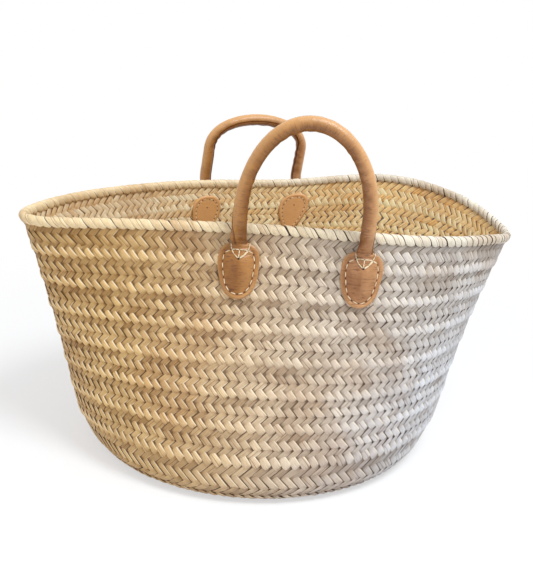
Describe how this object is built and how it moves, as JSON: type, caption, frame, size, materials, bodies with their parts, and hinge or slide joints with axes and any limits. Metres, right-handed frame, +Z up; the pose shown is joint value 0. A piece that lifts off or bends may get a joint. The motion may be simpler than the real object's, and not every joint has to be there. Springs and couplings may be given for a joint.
{
  "type": "market basket",
  "caption": "Oval open-mouthed market basket of sewn palm-leaf plait, with a bound rope rim and rolled-leather carrying handles that fold at leather patches.",
  "frame": {"origin": "middle of the base's underside, on the surface that the basket stands on", "axes": "+Z up, +X along the mouth to the right of the pictured side, +Y from that side to the back"},
  "size_m": [0.5856, 0.3871, 0.3958],
  "materials": {
    "palm_leaf": "dry woven leaf, low sheen",
    "palm_cord": "rough twisted fibre",
    "leather": "natural, waxed, soft sheen",
    "waxed_thread": "waxed thread"
  },
  "bodies": {
    "basket": {"base_centre": "palm_leaf", "base_turn_1": "palm_leaf", "base_turn_2": "palm_leaf", "base_turn_3": "palm_leaf", "base_turn_4": "palm_leaf", "base_turn_5": "palm_leaf", "wall_turn_1": "palm_leaf", "wall_turn_2": "palm_leaf", "wall_turn_3": "palm_leaf", "wall_turn_4": "palm_leaf", "wall_turn_5": "palm_leaf", "wall_turn_6": "palm_leaf", "wall_turn_7": "palm_leaf", "wall_turn_8": "palm_leaf", "seam_cord_1": "palm_cord", "seam_cord_2": "palm_cord", "seam_cord_3": "palm_cord", "seam_cord_4": "palm_cord", "seam_cord_5": "palm_cord", "seam_cord_6": "palm_cord", "seam_cord_7": "palm_cord", "seam_cord_8": "palm_cord", "seam_cord_9": "palm_cord", "seam_cord_10": "palm_cord", "seam_cord_11": "palm_cord", "seam_cord_12": "palm_cord", "seam_cord_13": "palm_cord", "rim_binding": "palm_leaf", "rim_rope": "palm_cord", "front_left_backing": "leather", "front_left_root": "palm_cord", "front_left_cover": "leather", "front_left_inner_patch": "leather", "front_left_thread": "waxed_thread", "front_right_backing": "leather", "front_right_root": "palm_cord", "front_right_cover": "leather", "front_right_inner_patch": "leather", "front_right_thread": "waxed_thread", "rear_left_backing": "leather", "rear_left_root": "palm_cord", "rear_left_cover": "leather", "rear_left_inner_patch": "leather", "rear_left_thread": "waxed_thread", "rear_right_backing": "leather", "rear_right_root": "palm_cord", "rear_right_cover": "leather", "rear_right_inner_patch": "leather", "rear_right_thread": "waxed_thread"},
    "front_handle": {"front_handle_sleeve": "leather", "front_handle_rope": "palm_cord"},
    "rear_handle": {"rear_handle_sleeve": "leather", "rear_handle_rope": "palm_cord"}
  },
  "joints": [
    {"name": "front_handle_fold", "type": "hinge", "parent": "basket", "child": "front_handle", "pos_m": [0.01274, -0.12212, 0.27108], "axis": [0.9734, -0.2286, -0.0127], "range_deg": [-20, 100]},
    {"name": "rear_handle_fold", "type": "hinge", "parent": "basket", "child": "rear_handle", "pos_m": [0.00749, 0.17903, 0.2689], "axis": [-0.9904, -0.138, -0.0128], "range_deg": [-3, 115]}
  ]
}
